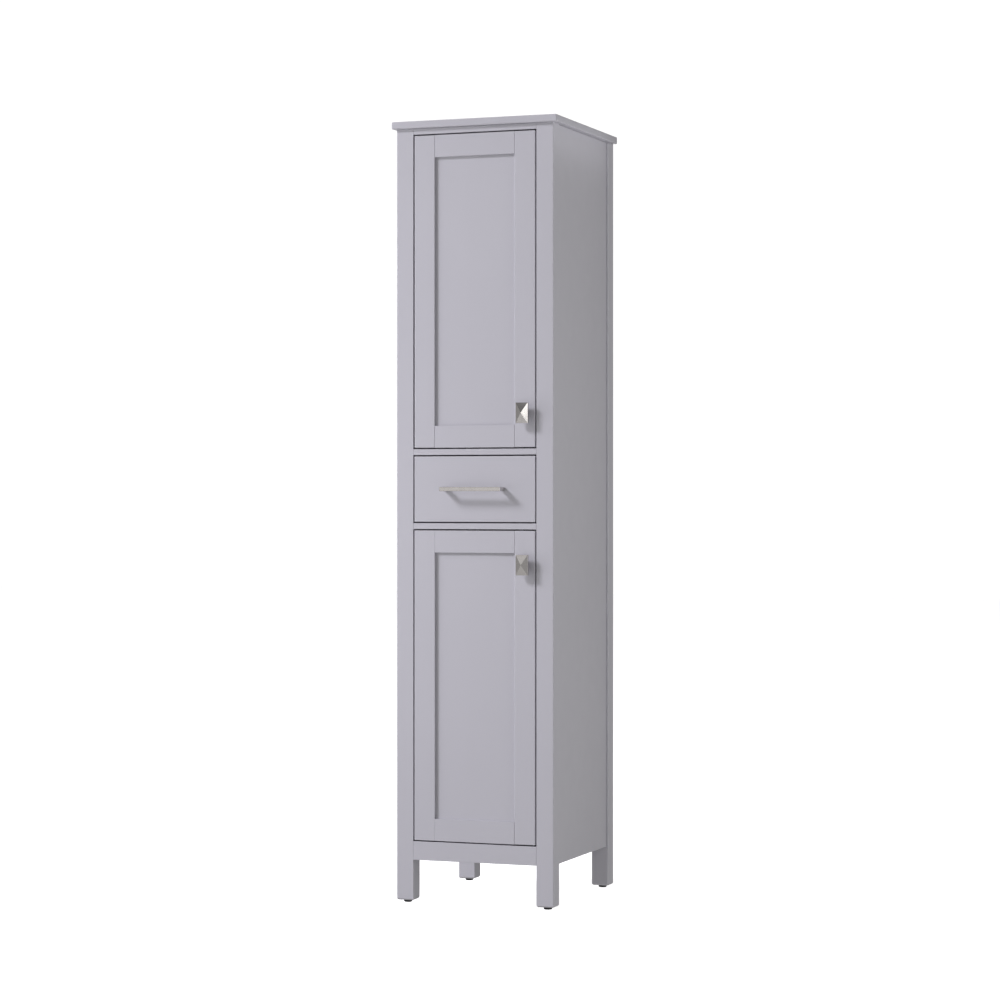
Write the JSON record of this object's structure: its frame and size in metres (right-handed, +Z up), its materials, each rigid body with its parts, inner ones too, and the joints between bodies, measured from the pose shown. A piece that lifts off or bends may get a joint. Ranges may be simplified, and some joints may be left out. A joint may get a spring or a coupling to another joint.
{
  "type": "pantry cabinet",
  "caption": "Tall narrow pantry cabinet on short legs, with inset framed doors above and below a drawer, adjustable shelves, concealed hinges and levelling feet.",
  "frame": {"origin": "middle of the footprint of the whole cabinet, knobs and pull included, on the floor", "axes": "+X to the right of someone facing the doors, +Y from the doors to the back, +Z up"},
  "size_m": [0.399, 0.456, 1.778],
  "materials": {
    "painted_wood": "satin light grey lacquer with a slight violet cast",
    "drawer_wood": "clear satin lacquer on birch",
    "satin_nickel": "satin nickel, softly polished facets",
    "hinge_steel": "bright nickel plate",
    "runner_steel": "bright zinc plate",
    "foot_plastic": "matt black moulded plastic"
  },
  "bodies": {
    "carcass": {"top_panel": "painted_wood", "post_front_left": "painted_wood", "post_front_right": "painted_wood", "post_rear_left": "painted_wood", "post_rear_right": "painted_wood", "side_panel_left": "painted_wood", "side_panel_right": "painted_wood", "back_panel": "painted_wood", "sub_top": "painted_wood", "upper_divider": "painted_wood", "lower_divider": "painted_wood", "bottom_panel": "painted_wood", "bottom_rail": "painted_wood", "rear_bottom_rail": "painted_wood", "anchor_rail": "painted_wood", "upper_shelf": "painted_wood", "lower_shelf": "painted_wood", "runner_cleat_left": "painted_wood", "runner_cleat_right": "painted_wood", "upper_door_hinge_arm_top": "hinge_steel", "upper_door_hinge_arm_bottom": "hinge_steel", "lower_door_hinge_arm_top": "hinge_steel", "lower_door_hinge_arm_bottom": "hinge_steel", "runner_outer_left": "runner_steel", "runner_outer_right": "runner_steel"},
    "upper_door": {"upper_door_stile_left": "painted_wood", "upper_door_stile_right": "painted_wood", "upper_door_rail_top": "painted_wood", "upper_door_rail_bottom": "painted_wood", "upper_door_panel": "painted_wood", "upper_door_knob": "satin_nickel", "upper_door_hinge_cup_top": "hinge_steel", "upper_door_hinge_cup_bottom": "hinge_steel"},
    "lower_door": {"lower_door_stile_left": "painted_wood", "lower_door_stile_right": "painted_wood", "lower_door_rail_top": "painted_wood", "lower_door_rail_bottom": "painted_wood", "lower_door_panel": "painted_wood", "lower_door_knob": "satin_nickel", "lower_door_hinge_cup_top": "hinge_steel", "lower_door_hinge_cup_bottom": "hinge_steel"},
    "drawer": {"drawer_front": "painted_wood", "drawer_side_left": "drawer_wood", "drawer_side_right": "drawer_wood", "drawer_back": "drawer_wood", "drawer_bottom": "drawer_wood", "drawer_pull": "satin_nickel", "runner_inner_left": "runner_steel", "runner_inner_right": "runner_steel"},
    "middle_runner_left": {"runner_middle_left": "runner_steel"},
    "middle_runner_right": {"runner_middle_right": "runner_steel"},
    "upper_link_top": {"upper_door_hinge_link_top": "hinge_steel"},
    "upper_link_bottom": {"upper_door_hinge_link_bottom": "hinge_steel"},
    "lower_link_top": {"lower_door_hinge_link_top": "hinge_steel"},
    "lower_link_bottom": {"lower_door_hinge_link_bottom": "hinge_steel"},
    "foot_front_left": {"levelling_foot_front_left": "foot_plastic"},
    "foot_front_right": {"levelling_foot_front_right": "foot_plastic"},
    "foot_rear_left": {"levelling_foot_rear_left": "foot_plastic"},
    "foot_rear_right": {"levelling_foot_rear_right": "foot_plastic"}
  },
  "joints": [
    {"name": "upper_door_hinge", "type": "hinge", "parent": "carcass", "child": "upper_door", "pos_m": [-0.14, -0.192, 1.3901], "axis": [0, 0, -1], "range_deg": [0, 105]},
    {"name": "lower_door_hinge", "type": "hinge", "parent": "carcass", "child": "lower_door", "pos_m": [-0.14, -0.192, 0.496], "axis": [0, 0, -1], "range_deg": [0, 105]},
    {"name": "upper_link_top_pin", "type": "hinge", "parent": "carcass", "child": "upper_link_top", "pos_m": [-0.143, -0.173, 1.6548], "axis": [0, 0, -1], "range_deg": [0, 47]},
    {"name": "upper_link_bottom_pin", "type": "hinge", "parent": "carcass", "child": "upper_link_bottom", "pos_m": [-0.143, -0.173, 1.1255], "axis": [0, 0, -1], "range_deg": [0, 47]},
    {"name": "lower_link_top_pin", "type": "hinge", "parent": "carcass", "child": "lower_link_top", "pos_m": [-0.143, -0.173, 0.758], "axis": [0, 0, -1], "range_deg": [0, 47]},
    {"name": "lower_link_bottom_pin", "type": "hinge", "parent": "carcass", "child": "lower_link_bottom", "pos_m": [-0.143, -0.173, 0.234], "axis": [0, 0, -1], "range_deg": [0, 47]},
    {"name": "drawer_slide", "type": "slide", "parent": "carcass", "child": "drawer", "axis": [0, -1, 0], "range_m": [0, 0.3]},
    {"name": "middle_runner_left_slide", "type": "slide", "parent": "carcass", "child": "middle_runner_left", "axis": [0, -1, 0], "range_m": [0, 0.151]},
    {"name": "middle_runner_right_slide", "type": "slide", "parent": "carcass", "child": "middle_runner_right", "axis": [0, -1, 0], "range_m": [0, 0.151]},
    {"name": "foot_front_left_height", "type": "slide", "parent": "carcass", "child": "foot_front_left", "axis": [0, 0, -1], "range_m": [0, 0.012]},
    {"name": "foot_front_right_height", "type": "slide", "parent": "carcass", "child": "foot_front_right", "axis": [0, 0, -1], "range_m": [0, 0.012]},
    {"name": "foot_rear_left_height", "type": "slide", "parent": "carcass", "child": "foot_rear_left", "axis": [0, 0, -1], "range_m": [0, 0.012]},
    {"name": "foot_rear_right_height", "type": "slide", "parent": "carcass", "child": "foot_rear_right", "axis": [0, 0, -1], "range_m": [0, 0.012]}
  ],
  "couplings": [
    {"joint": "upper_link_top_pin", "follows": "upper_door_hinge", "ratio": 0.44},
    {"joint": "upper_link_bottom_pin", "follows": "upper_door_hinge", "ratio": 0.44},
    {"joint": "lower_link_top_pin", "follows": "lower_door_hinge", "ratio": 0.44},
    {"joint": "lower_link_bottom_pin", "follows": "lower_door_hinge", "ratio": 0.44},
    {"joint": "middle_runner_left_slide", "follows": "drawer_slide", "ratio": 0.5},
    {"joint": "middle_runner_right_slide", "follows": "drawer_slide", "ratio": 0.5}
  ]
}
